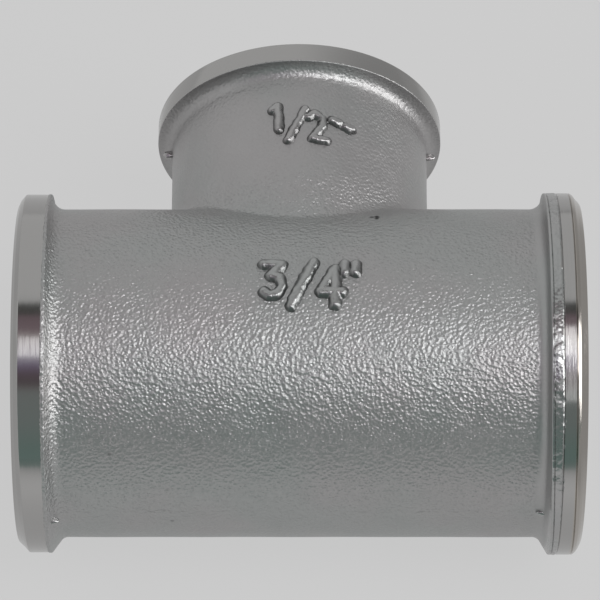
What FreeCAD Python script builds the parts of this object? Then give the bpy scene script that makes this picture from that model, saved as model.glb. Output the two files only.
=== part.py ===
import FreeCAD, Part
import os

import Sketcher

# Reducing tee, all sizes in millimetres. A forged body with three female ports: two equal
# ports in line, called the run, and a smaller one square to them, called the branch.
# Frame: the run's centreline is X, the branch points along +Y, +Z is up, and the origin is
# where the two centrelines cross. The tee lies on its two run bands.

DRIVING_DIMENSIONS = {
    "run_length": 53.0,
    "run_thread_diameter": 26.44,
    "run_thread_depth": 15.0,
    "run_waterway_diameter": 22.5,
    "run_wall": 2.33,
    "run_band_step": 1.45,
    "run_band_width": 3.3,
    "run_band_slope": 0.9,
    "run_end_chamfer": 1.1,
    "branch_height": 28.8,
    "branch_thread_diameter": 20.96,
    "branch_thread_depth": 12.5,
    "branch_waterway_diameter": 17.0,
    "branch_wall": 1.92,
    "branch_band_step": 1.45,
    "branch_band_width": 2.1,
    "branch_band_fillet": 1.2,
    "saddle_fillet": 1.2,
    "mouth_chamfer": 0.4,
}

# What follows from the driving dimensions, as expressions on the spreadsheet. The outside
# is built outwards from the threads: a wall over the thread, and a step from there up to
# the band. The bores for the threads are plain, at the threads' major diameters.
RUN_END = "(Dimensions.run_length / 2)"
RUN_SHOULDER = f"({RUN_END} - Dimensions.run_band_width)"
RUN_THREAD_RADIUS = "(Dimensions.run_thread_diameter / 2)"
RUN_THREAD_END = f"({RUN_END} - Dimensions.run_thread_depth)"
RUN_WATERWAY_RADIUS = "(Dimensions.run_waterway_diameter / 2)"
BARREL_RADIUS = f"({RUN_THREAD_RADIUS} + Dimensions.run_wall)"
RUN_BAND_RADIUS = f"({BARREL_RADIUS} + Dimensions.run_band_step)"
BRANCH_END = "Dimensions.branch_height"
BRANCH_SHOULDER = f"({BRANCH_END} - Dimensions.branch_band_width)"
BRANCH_THREAD_RADIUS = "(Dimensions.branch_thread_diameter / 2)"
BRANCH_THREAD_END = f"({BRANCH_END} - Dimensions.branch_thread_depth)"
BRANCH_WATERWAY_RADIUS = "(Dimensions.branch_waterway_diameter / 2)"
NECK_RADIUS = f"({BRANCH_THREAD_RADIUS} + Dimensions.branch_wall)"
BRANCH_BAND_RADIUS = f"({NECK_RADIUS} + Dimensions.branch_band_step)"

# What softens the foot of a step takes at most this share of it, so that a wall stays.
STEP_SHARE = 0.95
# How closely an edge has to match the circle or the crossing that is looked for.
TOLERANCE = 0.001
CROSSING_TOLERANCE = 0.01
CROSSING_POINTS = 5

# Sketcher's own numbers for a line's two ends, the two axes and the origin.
START, END = range(1, 3)
RUN_AXIS, BRANCH_AXIS = range(-1, -3, -1)
ORIGIN = (RUN_AXIS, START)

RUN_DIRECTION = FreeCAD.Vector(1, 0, 0)
BRANCH_DIRECTION = FreeCAD.Vector(0, 1, 0)


def make_sheet(doc):
    """Put each driving dimension in a row of the spreadsheet under its alias."""
    sheet = doc.addObject("Spreadsheet::Sheet", "Dimensions")
    for row, (alias, value) in enumerate(DRIVING_DIMENSIONS.items(), start=1):
        sheet.set(f"A{row}", alias)
        sheet.set(f"B{row}", str(value))
        sheet.setAlias(f"B{row}", alias)
    doc.recompute()
    return sheet


def make_sketch(body, name, points):
    """Draw a closed outline on the plane of the two centrelines."""
    sketch = body.newObject("Sketcher::SketchObject", name)
    plane = next(f for f in body.Origin.OriginFeatures if f.Role == "XY_Plane")
    sketch.AttachmentSupport = [(plane, "")]
    sketch.MapMode = "FlatFace"
    corners = [FreeCAD.Vector(x, y, 0) for x, y in points]
    for start, end in zip(corners, corners[1:] + corners[:1]):
        sketch.addGeometry(Part.LineSegment(start, end), False)
    for line in range(len(corners)):
        following = (line + 1) % len(corners)
        add(sketch, "Coincident", line, END, following, START)
    return sketch


def add(sketch, kind, *references):
    """Add one constraint and give back its index."""
    return sketch.addConstraint(Sketcher.Constraint(kind, *references))


def drive(sketch, kind, references, name, expression):
    """Add a named dimension whose value is an expression on the spreadsheet."""
    index = add(sketch, kind, *references, 1.0)
    sketch.renameConstraint(index, name)
    sketch.setExpression(f"Constraints.{name}", expression)


def run_outside_sketch(body, value):
    """Half section of the run: a barrel with a wider band at each end."""
    end = value(RUN_END)
    shoulder = value(RUN_SHOULDER)
    band = value(RUN_BAND_RADIUS)
    barrel = value(BARREL_RADIUS)
    sketch = make_sketch(
        body,
        "RunOutsideSketch",
        [
            (-end, 0),
            (-end, band),
            (-shoulder, band),
            (-shoulder, barrel),
            (shoulder, barrel),
            (shoulder, band),
            (end, band),
            (end, 0),
        ],
    )
    left_end, left_band, left_step, barrel_line, right_step, right_band, right_end, _ = range(8)
    for line in (left_end, left_step, right_step, right_end):
        add(sketch, "Vertical", line)
    for line in (left_band, right_band):
        add(sketch, "Horizontal", line)
    add(sketch, "PointOnObject", left_end, START, RUN_AXIS)
    add(sketch, "Symmetric", left_end, START, right_end, END, BRANCH_AXIS)
    add(sketch, "Symmetric", barrel_line, START, barrel_line, END, BRANCH_AXIS)
    add(sketch, "Equal", left_end, right_end)
    drive(sketch, "DistanceX", (*ORIGIN, right_end, END), "end", RUN_END)
    drive(sketch, "DistanceX", (*ORIGIN, barrel_line, END), "shoulder", RUN_SHOULDER)
    drive(sketch, "DistanceY", (*ORIGIN, left_end, END), "band_radius", RUN_BAND_RADIUS)
    drive(sketch, "DistanceY", (*ORIGIN, barrel_line, START), "barrel_radius", BARREL_RADIUS)
    return sketch


def branch_outside_sketch(body, value):
    """Half section of the branch: a neck from the run's centreline with a band at its end."""
    end = value(BRANCH_END)
    shoulder = value(BRANCH_SHOULDER)
    neck = value(NECK_RADIUS)
    band = value(BRANCH_BAND_RADIUS)
    sketch = make_sketch(
        body,
        "BranchOutsideSketch",
        [(0, 0), (neck, 0), (neck, shoulder), (band, shoulder), (band, end), (0, end)],
    )
    foot, neck_line, step, band_line, face, axis_line = range(6)
    for line in (foot, step, face):
        add(sketch, "Horizontal", line)
    for line in (neck_line, band_line, axis_line):
        add(sketch, "Vertical", line)
    add(sketch, "Coincident", foot, START, *ORIGIN)
    drive(sketch, "DistanceY", (*ORIGIN, face, START), "end", BRANCH_END)
    drive(sketch, "DistanceY", (*ORIGIN, neck_line, END), "shoulder", BRANCH_SHOULDER)
    drive(sketch, "DistanceX", (*ORIGIN, neck_line, START), "neck_radius", NECK_RADIUS)
    drive(sketch, "DistanceX", (*ORIGIN, band_line, START), "band_radius", BRANCH_BAND_RADIUS)
    return sketch


def run_bore_sketch(body, value):
    """Half section of the run's bore: a wide stretch for each thread, with a narrower
    waterway between them."""
    end = value(RUN_END)
    inner = value(RUN_THREAD_END)
    thread = value(RUN_THREAD_RADIUS)
    waterway = value(RUN_WATERWAY_RADIUS)
    sketch = make_sketch(
        body,
        "RunBoreSketch",
        [
            (-end, 0),
            (-end, thread),
            (-inner, thread),
            (-inner, waterway),
            (inner, waterway),
            (inner, thread),
            (end, thread),
            (end, 0),
        ],
    )
    left_end, left_wall, left_step, waterway_line, right_step, right_wall, right_end, _ = range(8)
    for line in (left_end, left_step, right_step, right_end):
        add(sketch, "Vertical", line)
    for line in (left_wall, right_wall):
        add(sketch, "Horizontal", line)
    add(sketch, "PointOnObject", left_end, START, RUN_AXIS)
    add(sketch, "Symmetric", left_end, START, right_end, END, BRANCH_AXIS)
    add(sketch, "Symmetric", waterway_line, START, waterway_line, END, BRANCH_AXIS)
    add(sketch, "Equal", left_end, right_end)
    drive(sketch, "DistanceX", (*ORIGIN, right_end, END), "end", RUN_END)
    drive(sketch, "DistanceX", (*ORIGIN, waterway_line, END), "thread_end", RUN_THREAD_END)
    drive(sketch, "DistanceY", (*ORIGIN, left_end, END), "thread_radius", RUN_THREAD_RADIUS)
    drive(sketch, "DistanceY", (*ORIGIN, waterway_line, START), "waterway_radius",
          RUN_WATERWAY_RADIUS)
    return sketch


def branch_bore_sketch(body, value):
    """Half section of the branch's bore, which opens into the run's waterway."""
    end = value(BRANCH_END)
    inner = value(BRANCH_THREAD_END)
    thread = value(BRANCH_THREAD_RADIUS)
    waterway = value(BRANCH_WATERWAY_RADIUS)
    sketch = make_sketch(
        body,
        "BranchBoreSketch",
        [(0, 0), (waterway, 0), (waterway, inner), (thread, inner), (thread, end), (0, end)],
    )
    foot, waterway_line, step, thread_line, face, axis_line = range(6)
    for line in (foot, step, face):
        add(sketch, "Horizontal", line)
    for line in (waterway_line, thread_line, axis_line):
        add(sketch, "Vertical", line)
    add(sketch, "Coincident", foot, START, *ORIGIN)
    drive(sketch, "DistanceY", (*ORIGIN, face, START), "end", BRANCH_END)
    drive(sketch, "DistanceY", (*ORIGIN, thread_line, START), "thread_end", BRANCH_THREAD_END)
    drive(sketch, "DistanceX", (*ORIGIN, thread_line, START), "thread_radius",
          BRANCH_THREAD_RADIUS)
    drive(sketch, "DistanceX", (*ORIGIN, waterway_line, START), "waterway_radius",
          BRANCH_WATERWAY_RADIUS)
    return sketch


def turn(body, kind, name, sketch, axis):
    """Turn the sketch once round one of its own axes, to add metal or to cut it."""
    feature = body.newObject(kind, name)
    feature.Profile = sketch
    feature.ReferenceAxis = (sketch, [axis])
    feature.Angle = 360.0
    body.Document.recompute()
    return feature


def circle_edges(shape, direction, radius, distance):
    """Names of the circular edges round the given centreline that have this radius and
    lie this far from the origin along it, on either side."""
    names = []
    for number, edge in enumerate(shape.Edges, start=1):
        curve = edge.Curve
        if not isinstance(curve, Part.Circle):
            continue
        along = abs(curve.Center.dot(direction))
        across = curve.Center.cross(direction).Length
        if (
            abs(curve.Radius - radius) < TOLERANCE
            and abs(along - distance) < TOLERANCE
            and across < TOLERANCE
            and abs(curve.Axis.dot(direction)) > 1 - TOLERANCE
        ):
            names.append(f"Edge{number}")
    return names


def crossing_edges(shape, barrel_radius, neck_radius):
    """Names of the edges where the neck meets the barrel: each lies at the barrel's radius
    from the run's centreline and at the neck's radius from the branch's."""
    names = []
    for number, edge in enumerate(shape.Edges, start=1):
        points = edge.discretize(CROSSING_POINTS)
        off_barrel = max(abs(p.cross(RUN_DIRECTION).Length - barrel_radius) for p in points)
        off_neck = max(abs(p.cross(BRANCH_DIRECTION).Length - neck_radius) for p in points)
        if max(off_barrel, off_neck) < CROSSING_TOLERANCE:
            names.append(f"Edge{number}")
    return names


def dress(body, kind, name, edges, expression):
    """Fillet or chamfer the named edges of the body's tip, with a size from the sheet."""
    base = body.Tip
    feature = body.newObject(kind, name)
    feature.Base = (base, edges)
    feature.setExpression("Radius" if kind == "PartDesign::Fillet" else "Size", expression)
    body.Document.recompute()
    return feature


def limited_by_step(softening, step):
    """Expression for the size of a slope or fillet in a step's foot, limited by the step."""
    return f"min(Dimensions.{softening}; {STEP_SHARE} * Dimensions.{step})"


def build_outside(body, value):
    """The forged outside: the run and the branch, joined by a blended saddle."""
    turn(body, "PartDesign::Revolution", "RunOutside", run_outside_sketch(body, value), "H_Axis")
    dress(
        body, "PartDesign::Chamfer", "RunBandSlopes",
        circle_edges(body.Tip.Shape, RUN_DIRECTION, value(BARREL_RADIUS), value(RUN_SHOULDER)),
        limited_by_step("run_band_slope", "run_band_step"),
    )
    turn(body, "PartDesign::Revolution", "BranchOutside", branch_outside_sketch(body, value),
         "V_Axis")
    dress(
        body, "PartDesign::Fillet", "BranchBandFillet",
        circle_edges(body.Tip.Shape, BRANCH_DIRECTION, value(NECK_RADIUS),
                     value(BRANCH_SHOULDER)),
        limited_by_step("branch_band_fillet", "branch_band_step"),
    )
    dress(
        body, "PartDesign::Fillet", "SaddleFillet",
        crossing_edges(body.Tip.Shape, value(BARREL_RADIUS), value(NECK_RADIUS)),
        "Dimensions.saddle_fillet",
    )
    dress(
        body, "PartDesign::Chamfer", "RunEndChamfers",
        circle_edges(body.Tip.Shape, RUN_DIRECTION, value(RUN_BAND_RADIUS), value(RUN_END)),
        "Dimensions.run_end_chamfer",
    )


def build_bores(body, value):
    """The two bores, which meet inside, and the small chamfers at their three mouths."""
    before = body.Tip.Shape.Volume
    turn(body, "PartDesign::Groove", "RunBore", run_bore_sketch(body, value), "H_Axis")
    after_run = body.Tip.Shape.Volume
    turn(body, "PartDesign::Groove", "BranchBore", branch_bore_sketch(body, value), "V_Axis")
    after_branch = body.Tip.Shape.Volume
    if not before > after_run > after_branch:
        raise RuntimeError("a bore cuts nothing")
    shape = body.Tip.Shape
    mouths = circle_edges(shape, RUN_DIRECTION, value(RUN_THREAD_RADIUS), value(RUN_END))
    mouths += circle_edges(
        shape, BRANCH_DIRECTION, value(BRANCH_THREAD_RADIUS), value(BRANCH_END)
    )
    dress(body, "PartDesign::Chamfer", "MouthChamfers", mouths, "Dimensions.mouth_chamfer")


def make_tee_body(doc, value):
    """The whole fitting, one forging machined at its three ports."""
    body = doc.addObject("PartDesign::Body", "TeeBody")
    body.Label = "tee_body"
    build_outside(body, value)
    build_bores(body, value)
    body.Placement = FreeCAD.Placement()
    return body


def check(doc, sub_parts):
    """Stop if anything failed to build or a sub-part isn't one valid solid."""
    for item in doc.Objects:
        if "Invalid" in item.State or "Error" in item.State:
            raise RuntimeError(f"{item.Name} failed: {item.State}")
    for sub_part in sub_parts:
        shape = sub_part.Shape
        if shape.isNull() or not shape.isValid() or len(shape.Solids) != 1:
            raise RuntimeError(f"{sub_part.Label} isn't one valid solid")


def main():
    doc = FreeCAD.newDocument("reducing_tee")
    sheet = make_sheet(doc)

    def value(expression):
        """An expression's value as a plain number."""
        return float(sheet.evalExpression(expression))

    sub_parts = [make_tee_body(doc, value)]
    doc.recompute()
    check(doc, sub_parts)
    os.makedirs("parts", exist_ok=True)
    for sub_part in sub_parts:
        sub_part.Shape.exportStep(f"parts/{sub_part.Label}.step")
        volume = sub_part.Shape.Volume
        faces = len(sub_part.Shape.Faces)
        print(f"{sub_part.Label}: {volume:.1f} cubic mm, {faces} faces")


main()
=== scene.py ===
"""Looks of a plated reducing tee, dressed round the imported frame.

The fitting is one forging turned at its three ports. Its surface is worked out in millimetres
as one closed mesh: the forged barrel and neck with the blended saddle between them, the turned
bands, and the threaded ports that meet inside. The raised sizes and flash remains ride on it.
"""

import logging
import math
from dataclasses import dataclass, field
from enum import Enum
from typing import Any, Callable, Sequence, Union

import bpy
import numpy as np
from mathutils import Matrix, Vector


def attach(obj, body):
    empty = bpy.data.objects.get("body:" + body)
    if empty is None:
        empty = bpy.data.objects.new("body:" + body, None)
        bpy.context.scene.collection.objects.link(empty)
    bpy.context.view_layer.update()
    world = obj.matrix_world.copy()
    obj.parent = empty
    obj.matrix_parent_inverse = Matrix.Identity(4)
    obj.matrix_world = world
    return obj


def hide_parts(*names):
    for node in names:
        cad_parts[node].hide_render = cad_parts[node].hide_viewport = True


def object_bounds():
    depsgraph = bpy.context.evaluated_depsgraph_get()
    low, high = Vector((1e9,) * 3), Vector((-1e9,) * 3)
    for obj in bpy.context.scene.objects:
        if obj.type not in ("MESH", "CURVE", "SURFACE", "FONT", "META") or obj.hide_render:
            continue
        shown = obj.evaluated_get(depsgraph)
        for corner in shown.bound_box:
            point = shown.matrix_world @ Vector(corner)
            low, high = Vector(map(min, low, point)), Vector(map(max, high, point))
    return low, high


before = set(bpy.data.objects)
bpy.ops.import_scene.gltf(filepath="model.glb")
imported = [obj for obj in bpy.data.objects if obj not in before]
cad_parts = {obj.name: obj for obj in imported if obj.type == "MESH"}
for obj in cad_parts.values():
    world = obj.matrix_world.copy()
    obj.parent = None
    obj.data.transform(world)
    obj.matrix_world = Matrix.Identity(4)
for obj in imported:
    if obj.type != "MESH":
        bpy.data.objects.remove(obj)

LOG = logging.getLogger("reducing_tee")
CAD_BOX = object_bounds()
MM = 0.001
SHARP_ANGLE = math.radians(38)
BODY = "root"
TEE_NODE = "tee_body"

Colour = tuple[float, float, float]
Place = tuple[float, float, float]
Span = tuple[float, float]
Zone = tuple[Span, float]
Values = Union[float, np.ndarray]


class RunEnd(Enum):
    """The two ends of the run, with the sign of X on each."""

    LEFT = -1
    RIGHT = 1


@dataclass(frozen=True)
class Shoulder:
    """A forged shoulder in one section: places along the run, with the band's radius.

    Its slope starts at the rounded foot and ends at the corner on the band, whose turned edge
    starts further out.
    """

    foot: float
    rounding: float
    corner: float
    band: float
    edge: float


@dataclass(frozen=True)
class Corner:
    """A corner of a turned outline: its place along the axis, its radius and its rounding."""

    along: float
    radius: float
    rounding: float = 0.0
    steps: int = 4


def rounded_outline(corners: Sequence[Corner]) -> np.ndarray:
    """Turns corners into an outline whose corners are round.

    Each corner with a rounding is replaced by the arc that touches both its lines: it starts
    where the tangent length, the rounding times the tangent of half the turn, meets the line.

    Args:
        corners: the outline's corners in order; the first and last are kept as points.

    Returns:
        An array of (along, radius) rows.
    """
    places = np.array([[corner.along, corner.radius] for corner in corners])
    points: list[np.ndarray] = []
    for index, (corner, here) in enumerate(zip(corners, places)):
        if corner.rounding == 0.0 or index in (0, len(corners) - 1):
            points.append(here)
            continue
        before, after = places[index - 1] - here, places[index + 1] - here
        before /= np.linalg.norm(before)
        after /= np.linalg.norm(after)
        inner = math.acos(float(np.clip(before @ after, -1.0, 1.0)))
        tangent = corner.rounding / math.tan(inner / 2)
        bisector = (before + after) / np.linalg.norm(before + after)
        centre = here + bisector * corner.rounding / math.sin(inner / 2)
        start = here + before * tangent - centre
        cross = start[0] * (here - centre)[1] - start[1] * (here - centre)[0]
        for angle in np.linspace(0.0, math.copysign(math.pi - inner, cross), corner.steps + 1):
            cosine, sine = math.cos(angle), math.sin(angle)
            points.append(centre + [start[0] * cosine - start[1] * sine,
                                    start[0] * sine + start[1] * cosine])
    return np.array(points)


def smooth_step(value: np.ndarray, low: float, high: float) -> np.ndarray:
    """Rises from 0 at low to 1 at high as three squares less two cubes."""
    share = np.clip((value - low) / (high - low), 0.0, 1.0)
    return share * share * (3.0 - 2.0 * share)


def round_x(along: Values, radius: Values, angle: Values) -> np.ndarray:
    """Places round X: Y is the radius times the angle's cosine, and Z times its sine."""
    along, radius, angle = np.broadcast_arrays(along, radius, angle)
    return np.stack([along, radius * np.cos(angle), radius * np.sin(angle)], axis=-1)


def round_y(along: Values, radius: Values, angle: Values) -> np.ndarray:
    """Places round Y: X is the radius times the angle's sine, and Z times its cosine."""
    along, radius, angle = np.broadcast_arrays(along, radius, angle)
    return np.stack([radius * np.sin(angle), along, radius * np.cos(angle)], axis=-1)


@dataclass(frozen=True)
class Ripple:
    """Gentle unevenness, the mean of plane waves in seeded random directions."""

    wavelength: float
    height: float
    waves: int = 9
    seed: int = 1
    spread: Span = (0.7, 1.5)

    def at(self, points: np.ndarray) -> np.ndarray:
        """Gives the height at each of some places.

        It is the sum of sines of each wave's own direction times the place, plus its own
        phase, divided by the root of their number.
        """
        rng = np.random.default_rng(self.seed)
        directions = rng.normal(size=(self.waves, 3))
        directions /= np.linalg.norm(directions, axis=1, keepdims=True)
        lengths = self.wavelength * rng.uniform(*self.spread, self.waves)
        phases = rng.uniform(0.0, 2 * math.pi, self.waves)
        angles = points @ (directions * (2 * math.pi / lengths)[:, None]).T + phases
        return self.height * np.sin(angles).sum(axis=-1) / math.sqrt(self.waves)


@dataclass
class Surface:
    """Grids of points gathered into one closed mesh, each vertex with a mask's number."""

    points: list[np.ndarray] = field(default_factory=list)
    mask: list[np.ndarray] = field(default_factory=list)
    faces: list[np.ndarray] = field(default_factory=list)
    weld_gap: float = 1e-5

    def add_grid(self, grid: np.ndarray, mask: Values = 0.0, closed: bool = True,
                 flip: bool = False) -> None:
        """Adds a grid of quads.

        Args:
            grid: points in rows and columns, shaped (rows, columns, 3).
            mask: a number kept at each point, such as 1 inside the ports and 0 outside.
            closed: whether the last column joins the first.
            flip: whether the faces turn over, so that they look away from the metal.
        """
        rows, columns = grid.shape[:2]
        index = np.arange(rows * columns).reshape(rows, columns) + sum(map(len, self.points))
        if closed:
            index = np.concatenate([index, index[:, :1]], axis=1)
        quads = np.stack([index[:-1, :-1], index[:-1, 1:], index[1:, 1:], index[1:, :-1]], axis=-1)
        quads = quads.reshape(-1, 4)
        self.faces.append(quads[:, ::-1] if flip else quads)
        self.points.append(grid.reshape(-1, 3))
        self.mask.append(np.broadcast_to(mask, (rows, columns)).reshape(-1))

    def welded(self) -> tuple[np.ndarray, np.ndarray, np.ndarray]:
        """Merges the points that neighbouring grids share.

        Returns:
            The points, the mask at each, and the quads, without doubles.
        """
        points = np.concatenate(self.points)
        mask = np.concatenate(self.mask)
        keys = np.round(points / self.weld_gap).astype(np.int64)
        _, first, inverse = np.unique(keys, axis=0, return_index=True, return_inverse=True)
        faces = inverse.reshape(-1)[np.concatenate(self.faces)]
        return points[first], mask[first], faces


def vertex_normals(points: np.ndarray, faces: np.ndarray) -> np.ndarray:
    """Gives each vertex the mean of its quads' normals, each the cross of its diagonals."""
    crosses = np.cross(points[faces[:, 2]] - points[faces[:, 0]],
                       points[faces[:, 3]] - points[faces[:, 1]])
    normals = np.zeros_like(points)
    for corner in range(4):
        np.add.at(normals, faces[:, corner], crosses)
    return normals / np.linalg.norm(normals, axis=1, keepdims=True)


def make_object(name: str, points: np.ndarray, faces: np.ndarray,
                values: dict[str, np.ndarray]) -> bpy.types.Object:
    """Makes a smooth mesh object at the origin, sharp only at its real edges.

    Args:
        name: the piece's name.
        points: places in millimetres, which the mesh has in metres.
        faces: quads, as rows of point numbers.
        values: one number a vertex for each named attribute.

    Returns:
        The object, linked to the scene.
    """
    mesh = bpy.data.meshes.new(name)
    mesh.from_pydata((points * MM).tolist(), [], faces.tolist())
    for key, numbers in values.items():
        attribute = mesh.attributes.new(key, "FLOAT", "POINT")
        attribute.data.foreach_set("value", numbers.astype(np.float32))
    mesh.validate()
    mesh.shade_smooth()
    mesh.set_sharp_from_angle(angle=SHARP_ANGLE)
    piece = bpy.data.objects.new(name, mesh)
    bpy.context.scene.collection.objects.link(piece)
    return piece


@dataclass(frozen=True)
class Thread:
    """A right-hand pipe thread cut in a bore, as ridges that stand inwards from the wall."""

    major_radius: float
    minor_radius: float
    pitch: float = 1.814
    run_out: float = 1.6
    lead_in: float = 0.9
    rows_per_pitch: int = 9
    crest: float = 0.14

    def radius(self, along: np.ndarray, angle: np.ndarray, start: float, end: float) -> np.ndarray:
        """Gives the bore's radius over its length and round it.

        The ridge is a triangle wave of the place along the axis, moved by one pitch for each
        turn, with its crests and roots cut flat, and it fades at both ends of the bore.

        Args:
            along: places along the axis.
            angle: angles round the axis, right-handed.
            start: where the bore's mouth is.
            end: where its inner end is.

        Returns:
            The radius at each place and angle.
        """
        phase = np.mod(along / self.pitch - angle / (2 * math.pi), 1.0)
        wave = np.abs(2.0 * phase - 1.0)
        ridge = np.clip((wave - self.crest) / (1.0 - 2.0 * self.crest), 0.0, 1.0)
        depth = np.abs(along - start)
        left = np.abs(end - along)
        fade = smooth_step(depth, 0.0, self.lead_in) * smooth_step(left, 0.0, self.run_out)
        return self.major_radius - (self.major_radius - self.minor_radius) * ridge * fade

    def rows(self, start: float, end: float) -> np.ndarray:
        """Places along the bore as one column, a fixed number to a pitch."""
        count = round(abs(end - start) / self.pitch * self.rows_per_pitch)
        return np.linspace(start, end, count)[:, None]


@dataclass
class Saddle:
    """A patch of a cylinder round X with a round branch leaving it.

    Its outer edge is a rectangle on the unrolled cylinder, and its inner edge is the loop
    where the branch, or the fillet at its foot, leaves the cylinder.
    """

    radius: float
    half_length: float
    branch_radius: float
    fillet: float = 0.0
    rings: int = 24
    columns_along: int = 40
    columns_round: int = 90
    samples: int = 6001

    def ball_centre(self, angle: np.ndarray) -> np.ndarray:
        """Centre of the ball that rolls in the corner between cylinder and branch.

        It keeps the branch's radius plus its own from Y, and the cylinder's plus its own
        from X, which gives its height as the root of the second squared less Z squared.
        """
        out = self.branch_radius + self.fillet
        height = np.sqrt((self.radius + self.fillet) ** 2 - (out * np.cos(angle)) ** 2)
        return round_y(height, out, angle)

    def foot(self, angle: np.ndarray) -> np.ndarray:
        """Where the ball touches the cylinder: its centre, drawn in towards X."""
        share = self.radius / (self.radius + self.fillet)
        return self.ball_centre(angle) * np.array([1.0, share, share])

    def top(self, angle: np.ndarray) -> np.ndarray:
        """Where the ball touches the branch: its centre, drawn in towards Y."""
        share = self.branch_radius / (self.branch_radius + self.fillet)
        return self.ball_centre(angle) * np.array([share, 1.0, share])

    def perimeter(self) -> np.ndarray:
        """The rectangle's points on the unrolled cylinder, (along X, arc towards +Z)."""
        half_arc = self.radius * math.pi / 2
        along = np.linspace(-self.half_length, self.half_length, self.columns_along + 1)
        arc = np.linspace(half_arc, -half_arc, self.columns_round + 1)
        far = np.stack([along, np.full_like(along, half_arc)], axis=-1)[:-1]
        right = np.stack([np.full_like(arc, self.half_length), arc], axis=-1)[:-1]
        return np.concatenate([far, right, -far, -right])

    def angles(self) -> np.ndarray:
        """Branch angles, one for each point of the perimeter, in the same direction."""
        dense = np.linspace(-2 * math.pi, 4 * math.pi, self.samples)
        foot = self.foot(dense)
        arc = self.radius * np.arctan2(foot[:, 2], foot[:, 1])
        seen = np.unwrap(np.arctan2(foot[:, 0], arc))
        seen += dense[0] - seen[0]
        edge = self.perimeter()
        wanted = np.unwrap(np.arctan2(edge[:, 0], edge[:, 1]))
        return np.interp(wanted, seen, dense)

    def patch(self) -> np.ndarray:
        """Rings from the loop out to the rectangle, even on the unrolled cylinder."""
        foot = self.foot(self.angles())
        loop = np.stack([foot[:, 0], self.radius * np.arctan2(foot[:, 2], foot[:, 1])], axis=-1)
        share = np.linspace(0.0, 1.0, self.rings + 1)[:, None, None]
        flat = loop * (1 - share) + self.perimeter() * share
        return round_x(flat[..., 0], self.radius, flat[..., 1] / self.radius)

    def blend(self, steps: int) -> np.ndarray:
        """The fillet: arcs of some steps round the ball's centre, from cylinder to branch."""
        angle = self.angles()
        centre = self.ball_centre(angle)
        low = (self.foot(angle) - centre) / self.fillet
        high = (self.top(angle) - centre) / self.fillet
        opening = np.arccos(np.clip((low * high).sum(axis=-1, keepdims=True), -1.0, 1.0))
        share = np.linspace(0.0, 1.0, steps + 1)[:, None, None]
        arc = low * np.sin((1 - share) * opening) + high * np.sin(share * opening)
        return centre + self.fillet * arc / np.sin(opening)

    def back(self) -> np.ndarray:
        """The half of the cylinder that faces away from the branch, as a plain grid."""
        along = np.linspace(-self.half_length, self.half_length, self.columns_along + 1)
        angle = np.linspace(math.pi / 2, 3 * math.pi / 2, self.columns_round + 1)
        return round_x(along[:, None], self.radius, angle)


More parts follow.
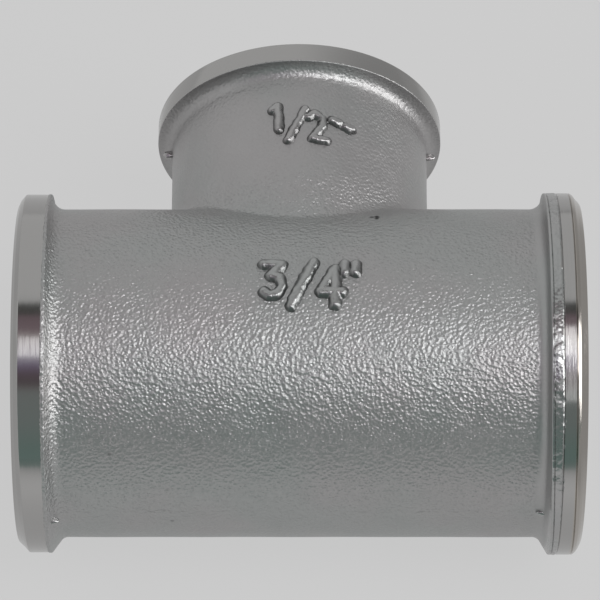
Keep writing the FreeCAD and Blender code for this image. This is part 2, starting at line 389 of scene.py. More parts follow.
@dataclass
class TeeShell:
    """The whole surface of the fitting. Every size is in millimetres.

    Each end's shoulders are cut at the top, in front and behind, and at the lowest angle.
    """

    end: float = 26.5
    barrel: float = 15.55
    barrel_half: float = 21.6
    face_inner: float = 13.62
    run_bore_start: float = 26.1
    run_bore_end: float = 11.5
    run_waterway: float = 11.25
    neck: float = 12.4
    neck_top: float = 25.1
    saddle_fillet: float = 1.2
    rim: float = 13.85
    rim_foot: float = 26.7
    branch_end: float = 28.8
    rim_inner: float = 10.88
    branch_bore_start: float = 28.4
    branch_bore_end: float = 16.3
    branch_waterway: float = 8.5
    run_thread: Thread = Thread(major_radius=13.22, minor_radius=12.06)
    branch_thread: Thread = Thread(major_radius=10.48, minor_radius=9.32)
    ripple: Ripple = Ripple(wavelength=9.0, height=0.016, seed=3)
    flash_height: float = 0.045
    flash_width: float = 0.42
    flash_share: float = 0.55
    flash_most: float = 1.3
    flash_breaks: Ripple = Ripple(wavelength=7.0, height=0.6, seed=5)
    skin_to_band: Span = (22.6, 23.2)
    skin_to_rim: Span = (26.2, 26.7)
    flash_below: Span = (-12.0, -11.0)
    flash_above: Span = (8.0, 9.0)
    flash_aside: Span = (11.0, 12.0)
    lowest: float = math.radians(213.4)
    shoulders: dict[RunEnd, Sequence[Shoulder]] = field(default_factory=lambda: {
        RunEnd.LEFT: (Shoulder(23.2, 1.2, 23.46, 16.95, 25.82),
                      Shoulder(22.75, 1.5, 23.42, 16.95, 25.8),
                      Shoulder(22.3, 0.85, 23.42, 17.0, 25.5)),
        RunEnd.RIGHT: (Shoulder(22.95, 1.3, 23.08, 17.08, 25.55),
                       Shoulder(22.75, 1.1, 23.1, 17.08, 25.55),
                       Shoulder(22.55, 0.9, 23.52, 17.22, 25.75)),
    })
    surface: Surface = field(default_factory=Surface)

    def __post_init__(self) -> None:
        """Sets up the two saddles, outside and inside, which share their columns."""
        self.add = self.surface.add_grid
        self.outer = Saddle(self.barrel, self.barrel_half, self.neck, self.saddle_fillet)
        self.inner = Saddle(self.run_waterway, self.run_bore_end, self.branch_waterway, rings=10)
        self.round = np.arange(2 * self.outer.columns_round) * math.pi / self.outer.columns_round
        columns = 2 * (self.outer.columns_along + self.outer.columns_round)
        self.branch_angles = self.outer.angles()[0] + np.arange(columns) * 2 * math.pi / columns

    @staticmethod
    def groove(place: float, radius: float, half: float, slope: float) -> list[Corner]:
        """A tool mark: a narrow groove across an outline, half its width times slope deep."""
        return [Corner(place - half, radius), Corner(place, radius - half * slope),
                Corner(place + half, radius)]

    def run_end_outline(self, side: RunEnd, shoulder: Shoulder) -> np.ndarray:
        """Half section of one band, from the barrel's end round to the mouth.

        On the left the turned cylinder stops at a small lip of skin, and on the right it
        stops further out, between tool marks.

        Args:
            side: which end of the run.
            shoulder: the shoulder in this section.

        Returns:
            The outline; all sections of one end have the same number of points.
        """
        corner, edge, band = shoulder.corner, shoulder.edge, shoulder.band
        if side is RunEnd.LEFT:
            turned = [
                Corner(corner, band + 0.04, 0.12, 5),
                Corner(23.64, band + 0.05, 0.04, 3),
                Corner(23.74, band, 0.03, 2),
                Corner(edge, band, 0.12, 4),
                Corner(edge + 0.42, band - 0.48, 0.3, 4),
            ]
        else:
            turned = [
                Corner(corner, band, 0.12, 5),
                *self.groove(corner + 0.26, band + 0.01, 0.06, 1.2),
                Corner(24.1, band + 0.04, 0.12, 3),
                *self.groove(24.27, band, 0.07, 1.1),
                *self.groove(edge - 0.12, band, 0.07, 1.4),
                Corner(edge, band, 0.04, 3),
                Corner(edge + 0.26, band - 0.18, 0.06, 3),
                Corner(edge + 0.5, band - 0.5, 0.3, 5),
            ]
        return rounded_outline([
            Corner(self.barrel_half, self.barrel),
            Corner(shoulder.foot, self.barrel, shoulder.rounding, 9),
            *turned,
            Corner(self.end, band - 1.02, 0.25, 6),
            Corner(self.end, self.face_inner, 0.08, 3),
            Corner(self.run_bore_start, self.run_thread.major_radius),
        ])

    def build_run_end(self, side: RunEnd) -> None:
        """Adds one band, its end face, its mouth, its thread and the step at its inner end.

        The band's outline is a mean of its three sections, by the square of the cosine of
        the angle from the lowest place.

        Args:
            side: which end of the run.
        """
        sign = side.value
        flip = side is RunEnd.LEFT
        above, level, below = (self.run_end_outline(side, shoulder)[..., None]
                               for shoulder in self.shoulders[side])
        down = np.cos(self.round - self.lowest)
        low, high = np.maximum(down, 0.0) ** 2, np.maximum(-down, 0.0) ** 2
        outline = below * low + above * high + level * (1.0 - low - high)
        self.add(round_x(sign * outline[:, 0], outline[:, 1], self.round), flip=flip)
        along = self.run_thread.rows(self.run_bore_start, self.run_bore_end)
        radius = self.run_thread.radius(sign * along, self.round, sign * self.run_bore_start,
                                        sign * self.run_bore_end)
        self.add(round_x(sign * along, radius, self.round), 1.0, flip=flip)
        step = np.array([[self.run_thread.major_radius], [self.run_waterway]])
        self.add(round_x(sign * self.run_bore_end, step, self.round), 1.0, flip=flip)

    def build_barrel(self) -> None:
        """Adds the barrel: the patch round the saddle, the saddle's fillet and the back."""
        self.add(self.outer.patch(), flip=True)
        self.add(self.outer.blend(steps=8))
        self.add(self.outer.back(), closed=False)

    def build_neck(self, rows: int = 18) -> None:
        """Adds the neck, whose columns ease from the saddle's spacing to an even one."""
        share = np.linspace(0.0, 1.0, rows + 1)[:, None]
        angle = self.outer.angles() * (1 - share) + self.branch_angles * share
        foot = self.outer.ball_centre(angle)[..., 1]
        along = foot * (1 - share) + self.neck_top * share
        self.add(round_y(along, self.neck, angle))

    def build_rim(self) -> None:
        """Adds the branch's band: its fillet, shoulder, cylinder, face and mouth."""
        outline = rounded_outline([
            Corner(self.neck_top, self.neck),
            Corner(self.rim_foot, self.neck, 1.36, 10),
            Corner(self.rim_foot, self.rim, 0.06, 4),
            Corner(self.branch_end, self.rim, 0.16, 4),
            Corner(self.branch_end, self.rim_inner, 0.08, 3),
            Corner(self.branch_bore_start, self.branch_thread.major_radius),
        ])
        self.add(round_y(outline[:, :1], outline[:, 1:], self.branch_angles))

    def build_branch_bore(self, rows: int = 6) -> None:
        """Adds the branch's thread, the step behind it and the waterway down to the run's."""
        thread, angle = self.branch_thread, self.branch_angles
        along = thread.rows(self.branch_bore_start, self.branch_bore_end)
        radius = thread.radius(along, angle, self.branch_bore_start, self.branch_bore_end)
        self.add(round_y(along, radius, angle), 1.0)
        step = np.array([[thread.major_radius], [self.branch_waterway]])
        self.add(round_y(self.branch_bore_end, step, angle), 1.0)
        share = np.linspace(0.0, 1.0, rows + 1)[:, None]
        angle = angle * (1 - share) + self.inner.angles() * share
        foot = self.inner.ball_centre(angle)[..., 1]
        along = self.branch_bore_end * (1 - share) + foot * share
        self.add(round_y(along, self.branch_waterway, angle), 1.0)
        self.add(self.inner.patch(), 1.0)
        self.add(self.inner.back(), 1.0, closed=False, flip=True)

    def uneven(self, points: np.ndarray, bore: np.ndarray, faces: np.ndarray) -> np.ndarray:
        """Moves the forged skin along its normals by the ripple and the flash.

        The flash is a trimmed ridge where the two dies met, in the plane z = 0: a bell curve
        of z times a broken share, beside the neck and on the side away from it.

        Args:
            points: the welded points.
            bore: the share of bore at each.
            faces: the quads.

        Returns:
            The moved points; turned and bored ones stay.
        """
        aside, up = np.abs(points[:, 0]), points[:, 1]
        skin = (1.0 - bore) * (1.0 - smooth_step(aside, *self.skin_to_band))
        skin *= 1.0 - smooth_step(up, *self.skin_to_rim)
        away = 1.0 - smooth_step(up, *self.flash_below)
        sides = smooth_step(aside, *self.flash_aside) * smooth_step(up, *self.flash_above)
        broken = np.clip(self.flash_share + self.flash_breaks.at(points), 0.0, self.flash_most)
        ridge = self.flash_height * np.exp(-(points[:, 2] / self.flash_width) ** 2) * broken
        height = self.ripple.at(points) + ridge * np.maximum(away, sides)
        return points + vertex_normals(points, faces) * (skin * height)[:, None]

    def build(self, finish: "Finish") -> None:
        """Builds the mesh, which stands for the solid in the frame.

        Args:
            finish: the plated finish.
        """
        self.build_barrel()
        self.build_neck()
        self.build_rim()
        self.build_branch_bore()
        for side in RunEnd:
            self.build_run_end(side)
        points, bore, faces = self.surface.welded()
        points = self.uneven(points, bore, faces)
        piece = make_object("tee_shell", points, faces, {"bore": bore})
        place_on_frame(piece, finish, replaced=TEE_NODE)


@dataclass(frozen=True)
class FlashRemains:
    """Lumps of flash left in the corners by the trimming, at the plane where the dies met."""

    places: Sequence[Place] = (
        (-22.95, -16.2, -0.35), (22.6, -15.6, 0.2), (-12.72, 25.6, 0.1), (12.72, 25.5, -0.2),
        (-22.9, 16.2, 0.2), (22.7, 16.1, -0.2),
    )
    half_size: Place = (0.62, 0.42, 0.27)
    steps: int = 10
    uneven: Ripple = Ripple(wavelength=0.9, height=0.06, seed=8)

    def lump(self, place: Place) -> list[np.ndarray]:
        """Six grids of a cube, each point drawn in to a ball, stretched and made uneven.

        Args:
            place: the lump's middle.

        Returns:
            The grids, with their faces outwards.
        """
        line = np.linspace(-1.0, 1.0, self.steps)
        first, second = np.meshgrid(line, line, indexing="ij")
        grids = []
        for axis in range(3):
            for sign in (1.0, -1.0):
                cube = np.stack([np.full_like(first, sign), first, sign * second], axis=-1)
                ball = np.roll(cube / np.linalg.norm(cube, axis=-1, keepdims=True), axis, axis=-1)
                size = 1.0 + self.uneven.at(ball + np.array(place))[..., None]
                grids.append(ball * size * self.half_size + place)
        return grids

    def build(self, finish: "Finish") -> None:
        """Builds all lumps as one piece in the skin's finish, without its grain."""
        surface = Surface()
        for place in self.places:
            for grid in self.lump(place):
                surface.add_grid(grid, closed=False, flip=True)
        points, mask, faces = surface.welded()
        piece = make_object("flash_remains", points, faces, {"calm": np.ones_like(mask)})
        place_on_frame(piece, finish)


@dataclass
class RaisedMark:
    """A raised size: strokes that stand on a round wall, on one closed sunken plate.

    Places on the unrolled wall are in millimetres, across to the right and up as it is read.
    """

    name: str
    strokes: Sequence[Sequence[tuple[float, float]]]
    onto_wall: Callable[[np.ndarray, np.ndarray, np.ndarray], np.ndarray]
    half_width: float = 0.64
    rise: float = 0.54
    steepness: float = 2.1
    sink: float = 0.25
    spacing: float = 0.085
    margin: float = 1.1
    hollow: float = 0.05
    hollow_width: float = 0.3
    # Painted shade on the strokes: a share rising from their middle to their edges, which darkens
    # them
    painted_shade_span: Span = (0.1, 0.9)
    calm: float = 0.7
    wobble: Ripple = Ripple(wavelength=1.1, height=0.06, seed=11)

    def distance(self, across: np.ndarray, up: np.ndarray) -> np.ndarray:
        """Distance from each place to the nearest stroke, a chain of straight pieces."""
        nearest = np.full(across.shape, np.inf)
        for stroke in self.strokes:
            for (x0, y0), (x1, y1) in zip(stroke[:-1], stroke[1:]):
                dx, dy = x1 - x0, y1 - y0
                share = ((across - x0) * dx + (up - y0) * dy) / (dx * dx + dy * dy)
                share = np.clip(share, 0.0, 1.0)
                gap = np.hypot(across - x0 - share * dx, up - y0 - share * dy)
                nearest = np.minimum(nearest, gap)
        return nearest

    def build(self, finish: "Finish") -> None:
        """Builds the plate: a height that falls with the distance from the strokes.

        The height is the rise times one less a power of the distance over the half width,
        less a narrow bell curve for the hollow along the middle. Past the edge it falls on
        straight to under the wall, so only the strokes show.

        Args:
            finish: the plated finish.
        """
        ends = np.concatenate(self.strokes)
        low = ends.min(axis=0) - self.margin
        high = ends.max(axis=0) + self.margin
        across, up = np.meshgrid(np.arange(low[0], high[0], self.spacing),
                                 np.arange(low[1], high[1], self.spacing), indexing="ij")
        places = np.stack([across, up, 0 * across], axis=-1)
        share = (self.distance(across, up) + self.wobble.at(places)) / self.half_width
        share = np.maximum(share, 0.0)
        power = self.steepness
        height = self.rise * np.where(share < 1.0, 1.0 - share ** power, power * (1.0 - share))
        height -= self.hollow * np.exp(-(share / self.hollow_width) ** 2)
        height = np.maximum(height, -self.sink)
        top = self.onto_wall(across, up, height)
        bottom = self.onto_wall(across, up, np.full_like(height, -2 * self.sink))
        surface = Surface()
        # The mask kept on the top is painted shade, darker towards each stroke's edge
        surface.add_grid(top, smooth_step(share, *self.painted_shade_span), closed=False, flip=True)
        surface.add_grid(bottom, closed=False)
        for edge in (np.s_[0, :], np.s_[:, -1], np.s_[-1, ::-1], np.s_[::-1, 0]):
            surface.add_grid(np.stack([top[edge], bottom[edge]]), closed=False)
        points, painted_shade, faces = surface.welded()
        values = {"calm": np.full_like(painted_shade, self.calm), "painted_shade": painted_shade}
        place_on_frame(make_object(self.name, points, faces, values), finish)


def onto_barrel(across: np.ndarray, up: np.ndarray, height: np.ndarray) -> np.ndarray:
    """Wraps places round the barrel's top: up the mark is towards the branch."""
    return round_x(across, TeeShell.barrel + height, math.pi / 2 - up / TeeShell.barrel)


def onto_neck(across: np.ndarray, up: np.ndarray, height: np.ndarray) -> np.ndarray:
    """Wraps places round the neck's top: up the mark is along the branch."""
    return round_y(up, TeeShell.neck + height, across / TeeShell.neck)


def raised_marks() -> Sequence[RaisedMark]:
    """The run's size, three quarters, and the branch's, one half, with their inch marks."""
    run = [
        [(-3.3, 1.75), (-1.6, 1.75), (-2.6, 0.5), (-1.85, 0.1), (-1.6, -0.7), (-2.0, -1.45),
         (-2.7, -1.65), (-3.3, -1.3)],
        [(1.35, 2.0), (-0.8, -2.75)],
        [(3.3, -2.6), (3.3, 1.2), (2.0, -1.3), (3.9, -1.3)],
        [(4.2, 1.75), (4.15, 0.9)], [(5.2, 1.75), (5.15, 0.9)],
    ]
    branch = [
        [(-2.6, 22.0), (-2.0, 22.4), (-1.95, 19.6)],
        [(0.55, 21.9), (-1.05, 18.4)],
        [(0.8, 21.0), (1.4, 21.5), (2.2, 20.9), (2.2, 20.0), (1.2, 18.5), (2.6, 18.4)],
        [(3.1, 20.9), (3.9, 20.75)], [(4.4, 20.45), (5.1, 20.3)],
    ]
    return (RaisedMark("run_size_mark", run, onto_barrel),
            RaisedMark("branch_size_mark", branch, onto_neck, half_width=0.54, rise=0.5))


def place_on_frame(piece: bpy.types.Object, finish: "Finish", replaced: str = "") -> None:
    """Dresses a piece, rides it on the body and hides the node it stands for, if any."""
    piece.data.materials.append(finish.material())
    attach(piece, BODY)
    if replaced:
        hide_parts(replaced)
    piece.data.calc_loop_triangles()
    LOG.info("%s: %d triangles", piece.name, len(piece.data.loop_triangles))


def grey(shade: float) -> Colour:
    """The neutral colour of a shade."""
    return shade, shade, shade


def operator(kind: str, swapped: bool = False) -> Callable[..., "Value"]:
    """Makes a method that adds a Math node, in which the value can come second."""
    def method(value: "Value", *others: Any) -> "Value":
        """Adds the node to the value's tree."""
        operands = (*others, value) if swapped else (value, *others)
        return value.tree.node("ShaderNodeMath", {"operation": kind}, dict(enumerate(operands)))
    return method


@dataclass
class Value:
    """An output of a shader node, on which Python's operators add Math nodes."""

    tree: "ShaderTree"
    node: bpy.types.Node
    output: Union[str, int]

    __add__ = __radd__ = operator("ADD")
    __sub__ = operator("SUBTRACT")
    __rsub__ = operator("SUBTRACT", swapped=True)
    __mul__ = operator("MULTIPLY")
    __abs__ = operator("ABSOLUTE")
    larger = operator("MAXIMUM")

    @property
    def socket(self) -> bpy.types.NodeSocket:
        """The output's socket."""
        return self.node.outputs[self.output]

    def __neg__(self) -> "Value":
        """Changes the sign."""
        return self * -1.0

    def rise(self, low: float, high: float) -> "Value":
        """Rises smoothly from 0 at low to 1 at high."""
        return self.tree.node("ShaderNodeMapRange", {"interpolation_type": "SMOOTHSTEP"},
                              {"Value": self, "From Min": low, "From Max": high})


class ShaderTree:
    """The node tree of a material or the world, built by one method for every node."""

    def __init__(self, owner: Union[bpy.types.Material, bpy.types.World]) -> None:
        """Empties the owner's tree."""
        owner.use_nodes = True
        self.nodes = owner.node_tree.nodes
        self.links = owner.node_tree.links
        self.nodes.clear()

    def put(self, socket: bpy.types.NodeSocket, value: Any) -> None:
        """Links a value to a socket, or sets the socket if the value is a constant."""
        if isinstance(value, Value):
            self.links.new(value.socket, socket)
        elif isinstance(value, (tuple, list)) and len(value) == 3 and socket.type == "RGBA":
            socket.default_value = (*value, 1.0)
        else:
            socket.default_value = value

    def node(self, kind: str, settings: dict[str, Any], inputs: dict[Union[str, int], Any],
             output: Union[str, int] = 0) -> Value:
        """Adds a node.

        Args:
            kind: the node's type.
            settings: its own settings, set first.
            inputs: constants or values for its sockets, by name or number.
            output: which output to give back.

        Returns:
            The output as a value.
        """
        made = self.nodes.new(kind)
        for key, setting in settings.items():
            setattr(made, key, setting)
        for key, value in inputs.items():
            self.put(made.inputs[key], value)
        return Value(self, made, output)

    def noise(self, place: Value, scale: float, detail: float = 2.0, roughness: float = 0.5) -> Value:
        """Adds a noise of a place, with scale in cells a metre."""
        inputs = {"Vector": place, "Scale": scale, "Detail": detail, "Roughness": roughness}
        return self.node("ShaderNodeTexNoise", {}, inputs)

    def mix(self, share: Any, first: Any, second: Any) -> Value:
        """Mixes two colours by a share."""
        return self.node("ShaderNodeMix", {"data_type": "RGBA"},
                         {0: share, 6: first, 7: second}, 2)

    def coordinates(self, output: str) -> Value:
        """Adds texture coordinates of the named kind."""
        return self.node("ShaderNodeTexCoord", {}, {}, output)

    def split(self, place: Value) -> tuple[Value, Value, Value]:
        """Splits a place into its three numbers."""
        parts = self.node("ShaderNodeSeparateXYZ", {}, {"Vector": place})
        return parts, Value(self, parts.node, 1), Value(self, parts.node, 2)


@dataclass(frozen=True)
class Pit:
    """A round pit: its middle and radius in millimetres, its darkness and its even core."""

    middle: Place
    radius: float = 0.26
    dark: float = 1.0
    core: float = 0.27


@dataclass(frozen=True)
class Finish:
    """Nickel plate over a forging: satin grained skin, bright where it was turned.

    Lengths are in metres and scales in cells a metre. A span is where a share rises from 0 to
    1, a zone also has the share it reaches, and a cut is where the tool's work begins and how
    far its line strays.
    """

    name: str = "nickel_plate"
    skin_cool: Colour = (0.4375, 0.4485, 0.4435)
    skin_warm: Colour = (0.4565, 0.4485, 0.4485)
    cloud_scale: float = 90.0
    cloud_span: Span = (0.35, 0.65)
    turned: Colour = (0.455, 0.45, 0.442)
    # A warmer, lighter tint past the right band's edge: a painted reflection of the warm light on
    # that side
    painted_warm_sheen: Colour = (0.478, 0.452, 0.42)
    painted_sheen_span: Span = (25.3 * MM, 25.5 * MM)
    # The pits' dark colour, also the colour of the marks' painted shade
    pit_and_shade_colour: Colour = grey(0.03)
    painted_shade_share: float = 0.62
    skin_roughness: float = 0.43
    turned_roughness: float = 0.13
    bore_roughness: float = 0.3
    wear_scale: float = 420.0
    skin_wear: float = 0.16
    turned_wear: float = 0.1
    calm_gloss: float = 0.2
    right_gloss: Zone = ((23.0 * MM, 23.3 * MM), 0.18)
    grain_scale: float = 3200.0
    grain_smoothness: float = 0.6
    fine_grain_scale: float = 5440.0
    fine_grain_share: float = 0.5
    grain_mean: float = 0.6
    grain_height: float = 0.1 * MM
    calm_run: Zone = ((21.5 * MM, 22.3 * MM), 0.85)
    calm_rim: Zone = ((24.5 * MM, 25.3 * MM), 0.6)
    calm_neck: Zone = ((13.0 * MM, 16.0 * MM), 0.55)
    torn_scale: float = 850.0
    torn_span: Span = (23.1 * MM, 23.4 * MM)
    torn_height: float = 0.22 * MM
    ring_scales: Sequence[Place] = ((4000.0, 160.0, 160.0), (160.0, 4000.0, 160.0))
    ring_roughness: float = 0.6
    ring_height: float = 0.017 * MM
    rim_span: Span = (26.0 * MM, 26.5 * MM)
    cut_right: Span = (24.26 * MM, 1.0 * MM)
    cut_left: Span = (23.72 * MM, 0.16 * MM)
    cut_rim: Span = (26.8 * MM, 0.1 * MM)
    cut_blur: float = 0.03 * MM
    cut_scale: float = 900.0
    pit_depth: float = 0.1 * MM
    pits: Sequence[Pit] = (
        Pit((7.27, 9.6, 12.3), 0.36), Pit((7.3, 9.3, 12.53), 0.36),
        Pit((7.25, 9.0, 12.75), 0.3), Pit((6.8, 9.4, 12.44), 0.32),
        Pit((-17.5, -13.74, 7.28), dark=0.4), Pit((-12.2, -15.17, 3.43), dark=0.15),
        Pit((-12.6, -15.55, 0.33), dark=0.15), Pit((-11.87, -15.46, -1.67), dark=0.4),
    )

    def turned_mask(self, tree: ShaderTree, place: Value, bore: Value) -> Value:
        """Where the tool has cut: the bands past an uneven edge, the rim and the bores."""
        x, y, _ = tree.split(place)
        ragged = tree.noise(place, self.cut_scale, 3.0) - 0.5
        mask = bore
        for way, (start, stray) in ((x, self.cut_right), (-x, self.cut_left), (y, self.cut_rim)):
            cut = (way + ragged * stray).rise(start - self.cut_blur, start + self.cut_blur)
            mask = mask.larger(cut)
        return mask

    def pit_mask(self, tree: ShaderTree, place: Value) -> Value:
        """Small dark pits in the skin, each a soft ball round its own place."""
        mask: Any = 0.0
        for pit in self.pits:
            away = tree.node("ShaderNodeVectorMath", {"operation": "DISTANCE"},
                             {0: place, 1: [part * MM for part in pit.middle]}, "Value")
            spot = 1.0 - away.rise(pit.core * pit.radius * MM, pit.radius * MM)
            mask = (spot * pit.dark).larger(mask)
        return mask

    def material(self) -> bpy.types.Material:
        """Makes the procedural material of the whole fitting, or gives the one made before."""
        made = bpy.data.materials.get(self.name)
        if made:
            return made
        made = bpy.data.materials.new(self.name)
        tree = ShaderTree(made)
        place = tree.coordinates("Object")
        x, y, _ = tree.split(place)
        bore, calm, painted_shade = (
            tree.node("ShaderNodeAttribute", {"attribute_name": name}, {}, "Fac")
            for name in ("bore", "calm", "painted_shade")
        )
        turned = self.turned_mask(tree, place, bore)
        pits = self.pit_mask(tree, place) * (1.0 - turned)

        cloud = tree.noise(place, self.cloud_scale).rise(*self.cloud_span)
        skin = tree.mix(cloud, self.skin_cool, self.skin_warm)
        # Pits turn dark, and the marks take painted shade towards their strokes' edges, in the same
        # colour
        skin = tree.mix(pits.larger(painted_shade * self.painted_shade_share), skin, self.pit_and_shade_colour)
        # Past the right band's edge the turned metal takes the painted warm reflection
        metal = tree.mix(x.rise(*self.painted_sheen_span), self.turned, self.painted_warm_sheen)
        colour = tree.mix(turned, skin, metal)

        wear = tree.noise(place, self.wear_scale, 3.0) - 0.5
        span, gloss = self.right_gloss
        rough_skin = self.skin_roughness + wear * self.skin_wear
        rough_skin = rough_skin - x.rise(*span) * gloss - calm * self.calm_gloss
        rough_turned = self.turned_roughness + wear * self.turned_wear
        rough_turned = rough_turned + bore * (self.bore_roughness - self.turned_roughness)
        roughness = rough_skin * (1.0 - turned) + rough_turned * turned

        dimples = tree.node("ShaderNodeTexVoronoi", {"feature": "SMOOTH_F1"}, {
            "Vector": place, "Scale": self.grain_scale, "Smoothness": self.grain_smoothness,
        })
        fine = tree.noise(place, self.fine_grain_scale, 1.0) * self.fine_grain_share
        grain = dimples + fine - self.grain_mean
        along_y = y.rise(*self.rim_span)
        across_run, across_rim = (
            tree.noise(tree.node("ShaderNodeMapping", {}, {"Vector": place, "Scale": scale}),
                       1.0, 3.0, self.ring_roughness)
            for scale in self.ring_scales
        )
        rings = across_run * (1.0 - along_y) + across_rim * along_y
        for way, (span, share) in ((x, self.calm_run), (y, self.calm_rim), (y, self.calm_neck)):
            calm = calm.larger(way.rise(*span) * share)
        torn = (tree.noise(place, self.torn_scale) - 0.5) * abs(x).rise(*self.torn_span)
        height = grain * (1.0 - calm) * self.grain_height - pits * self.pit_depth
        height = (height + torn * self.torn_height) * (1.0 - turned)
        height = height + rings * turned * self.ring_height
        bump = tree.node("ShaderNodeBump", {}, {"Strength": 1.0, "Distance": 1.0, "Height": height})
        surface = tree.node("ShaderNodeBsdfPrincipled", {}, {
            "Base Color": colour, "Metallic": 1.0, "Roughness": roughness, "Normal": bump,
        })
        tree.node("ShaderNodeOutputMaterial", {}, {"Surface": surface})
        return made


@dataclass(frozen=True)
class SoftLight:
    """A square lamp of even brightness that faces the object.

    Its direction has an elevation over the front and a swing from the plane of Y and Z
    towards +X, in degrees. Its width lies along X, or along Y where it is mostly aside.
    """

    name: str
    elevation: float
    swing: float
    width: float
    height: float
    brightness: float
    distance: float = 0.62
    aside: float = 0.7

    def build(self) -> None:
        """Makes the area lamp; its power is pi times its area times its brightness."""
        data = bpy.data.lights.new(self.name, "AREA")
        data.shape = "RECTANGLE"
        data.size = self.width
        data.size_y = self.height
        data.energy = math.pi * self.width * self.height * self.brightness
        lamp = bpy.data.objects.new(self.name, data)
        elevation, swing = math.radians(self.elevation), math.radians(self.swing)
        back = Vector((math.sin(swing), -math.cos(swing) * math.cos(elevation),
                       math.cos(swing) * math.sin(elevation)))
        across = Vector((1, 0, 0))
        if abs(back.x) > self.aside:
            across = Vector((0, 1, 0)).cross(back)
        across = (across - back * across.dot(back)).normalized()
        turn = Matrix((across, back.cross(across), back)).transposed().to_4x4()
        lamp.matrix_world = Matrix.Translation(back * self.distance) @ turn
        lamp.visible_camera = False
        bpy.context.scene.collection.objects.link(lamp)


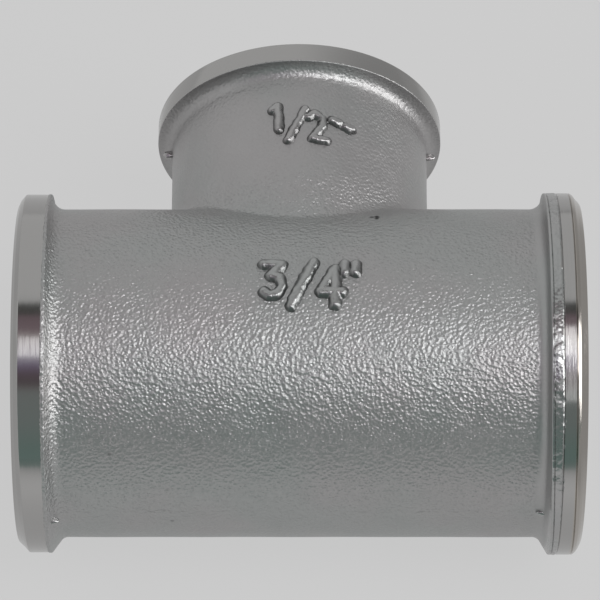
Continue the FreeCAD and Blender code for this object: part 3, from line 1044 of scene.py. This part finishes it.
@dataclass
class Studio:
    """The pale floor, the light tent that is open towards the camera, and the camera.

    The tent's opening and the stops of the room beyond it are elevations over the front in
    degrees. The floor's gap and rings are in millimetres, its spans and zones in metres.
    """

    tent: float = 0.615
    opening: Span = (-8.0, 103.5)
    room: Sequence[tuple[float, Colour]] = (
        (-2, (0.19, 0.27, 0.25)), (8, (0.19, 0.26, 0.24)), (25, (0.225, 0.26, 0.25)),
        (44, (0.235, 0.255, 0.25)), (47, (0.2, 0.19, 0.19)), (50, (0.12, 0.1, 0.105)),
        (56, (0.14, 0.105, 0.125)), (61, (0.2, 0.16, 0.24)), (66, (0.43, 0.4, 0.48)),
        (81, (0.35, 0.3, 0.3)), (84, (0.25, 0.19, 0.21)), (93, (0.22, 0.165, 0.185)),
        (95, (0.09, 0.09, 0.085)), (101, (0.08, 0.085, 0.08)),
    )
    ramp_start: float = -20.0
    ramp_length: float = 200.0
    side_span: Span = (0.5, 0.66)
    right_shade: Zone = ((-0.1, 0.8), 0.38)
    backdrop: float = 0.622
    floor_glow: float = 0.88
    # Shades of the paper in the part's reflections: darker beside and right of it, a painted shadow
    floor_shadow_beside: float = 0.54
    floor_ahead: Zone = ((0.015, 0.07), 0.66)
    floor_far: Zone = ((0.06, 0.22), 0.46)
    floor_shade_right: Zone = ((0.04, 0.07), 0.4)
    beyond_paper: Colour = (0.17, 0.24, 0.22)
    paper_edge: Span = (-0.27, -0.23)
    paper: Colour = grey(0.63)
    fleck: Colour = grey(0.62055)
    fleck_scale: float = 60.0
    fleck_span: Span = (0.3, 0.7)
    floor_gap: float = 0.2
    floor_rings: Sequence[float] = (0.5, 100.0, 400.0, 1200.0, 3000.0)
    floor_sides: int = 64
    lamps: Sequence[SoftLight] = (
        SoftLight("lamp_over_camera", 69.0, 30.0, 0.42, 0.23, 4.2),
        SoftLight("lamp_wing_left", 73.0, -8.0, 0.17, 0.13, 0.88),
        SoftLight("lamp_wing_right", 76.5, 6.0, 0.13, 0.2, 1.12),
        SoftLight("lamp_apron", 53.0, 11.0, 0.2, 0.3, 0.5),
        SoftLight("softbox_right", 63.0, 64.0, 0.17, 0.46, 2.9),
        SoftLight("window_right", 66.0, 83.0, 0.22, 0.4, 2.5),
    )
    eye: Vector = field(default_factory=lambda: Vector((0.0, -0.24247, 0.36716)))
    centre_pixel: tuple[float, float] = (299.35, 373.1)
    image_size: float = 600.0
    focal_pixels: float = 4631.0
    sensor: float = 36.0

    def build_floor(self, height: float) -> None:
        """Lays the floor: a disc of diffuse paper that the part sees glowing in a few shades, darker
        beside and to the right of it as a painted shadow.

        Rings of quads make the disc, and strips from side to side fill the innermost.

        Args:
            height: its Z in millimetres.
        """
        angle = np.linspace(0, 2 * math.pi, self.floor_sides, endpoint=False)
        disc = round_y(height, np.array(self.floor_rings)[:, None], angle)
        surface = Surface()
        surface.add_grid(disc[..., [2, 0, 1]], flip=True)
        left = np.arange(self.floor_sides // 2 - 1)
        right = self.floor_sides - 1 - left
        surface.faces.append(np.stack([left, left + 1, right - 1, right], axis=-1))
        points, _, faces = surface.welded()
        floor = make_object("floor", points, faces, {})
        made = bpy.data.materials.new("floor_paper")
        tree = ShaderTree(made)
        place = tree.coordinates("Object")
        fleck = tree.noise(place, self.fleck_scale).rise(*self.fleck_span)
        paper = tree.node("ShaderNodeBsdfDiffuse", {},
                          {"Color": tree.mix(fleck, self.paper, self.fleck)})
        across, along, _ = tree.split(place)
        # Painted shadow in the reflected paper: darker beside and right of the part, lighter ahead,
        # darker further off
        paper_seen: Any = grey(self.floor_shadow_beside)
        for way, (span, shade) in ((-along, self.floor_ahead), (-along, self.floor_far),
                                   (across, self.floor_shade_right)):
            paper_seen = tree.mix(way.rise(*span), paper_seen, grey(shade))
        mirrored = tree.mix(along.rise(*self.paper_edge), self.beyond_paper, paper_seen)
        path = tree.node("ShaderNodeLightPath", {}, {}, "Is Camera Ray")
        pale = tree.node("ShaderNodeEmission", {},
                         {"Color": tree.mix(path, mirrored, grey(self.backdrop))})
        share = path.larger(Value(tree, path.node, "Is Glossy Ray")) * self.floor_glow
        seen = tree.node("ShaderNodeMixShader", {}, {0: share, 1: paper, 2: pale})
        tree.node("ShaderNodeOutputMaterial", {}, {"Surface": seen})
        floor.data.materials.append(made)

    def build_world(self) -> None:
        """Lights the scene with a grey tent whose front opening shows a darker room.

        The opening's shade depends on the elevation over the front, from the horizon at 0
        degrees over the top at 90 to where the tent starts; to the sides it ends softly.
        """
        world = bpy.data.worlds.new("light_tent")
        bpy.context.scene.world = world
        tree = ShaderTree(world)
        x, y, z = tree.split(tree.coordinates("Generated"))
        elevation = tree.node("ShaderNodeMath", {"operation": "ARCTAN2"}, {0: z, 1: -y})
        tent = grey(self.tent)
        stops = [(self.opening[0], tent), *self.room, (self.opening[1], tent)]
        place = (elevation * math.degrees(1.0) - self.ramp_start) * (1 / self.ramp_length)
        ramp = tree.node("ShaderNodeValToRGB", {}, {"Fac": place})
        elements = ramp.node.color_ramp.elements
        while len(elements) < len(stops):
            elements.new(1.0)
        for element, (degrees, colour) in zip(elements, stops):
            element.position = (degrees - self.ramp_start) / self.ramp_length
            element.color = (*colour, 1.0)
        room = tree.mix(abs(x).rise(*self.side_span), ramp, tent)
        span, shade = self.right_shade
        room = tree.mix(x.rise(*span) * shade, room, grey(0.0))
        seen = tree.node("ShaderNodeLightPath", {}, {}, "Is Camera Ray")
        light = tree.mix(seen, room, grey(self.backdrop))
        glow = tree.node("ShaderNodeBackground", {}, {"Color": light, "Strength": 1.0})
        tree.node("ShaderNodeOutputWorld", {}, {"Surface": glow})

    def build_camera(self) -> None:
        """Sets the camera so that the origin falls on its pixel of the square frame."""
        towards = -self.eye.normalized()
        right = Vector((1.0, 0.0, 0.0))
        up = right.cross(towards)
        aside, below = ((pixel - self.image_size / 2) / self.focal_pixels
                        for pixel in self.centre_pixel)
        forward = (towards + up * below - right * aside).normalized()
        right = forward.cross(up).normalized()
        up = right.cross(forward)
        data = bpy.data.cameras.new("camera")
        data.sensor_width = self.sensor
        data.lens = self.focal_pixels / self.image_size * self.sensor
        camera = bpy.data.objects.new("camera", data)
        turn = Matrix((right, up, -forward)).transposed().to_4x4()
        camera.matrix_world = Matrix.Translation(self.eye) @ turn
        bpy.context.scene.collection.objects.link(camera)
        bpy.context.scene.camera = camera

    def build(self, lowest: float) -> None:
        """Builds floor, light and camera.

        Args:
            lowest: the Z of the part's lowest place, in millimetres.
        """
        self.build_floor(lowest - self.floor_gap)
        self.build_world()
        for lamp in self.lamps:
            lamp.build()
        self.build_camera()
        bpy.context.scene.view_settings.view_transform = "Standard"


def main() -> None:
    """Builds every piece in order and sets up the studio."""
    logging.basicConfig(level=logging.INFO, format="%(message)s")
    finish = Finish()
    TeeShell().build(finish)
    for mark in raised_marks():
        mark.build(finish)
    FlashRemains().build(finish)
    Studio().build(CAD_BOX[0].z / MM)


if __name__ == "__main__":
    main()
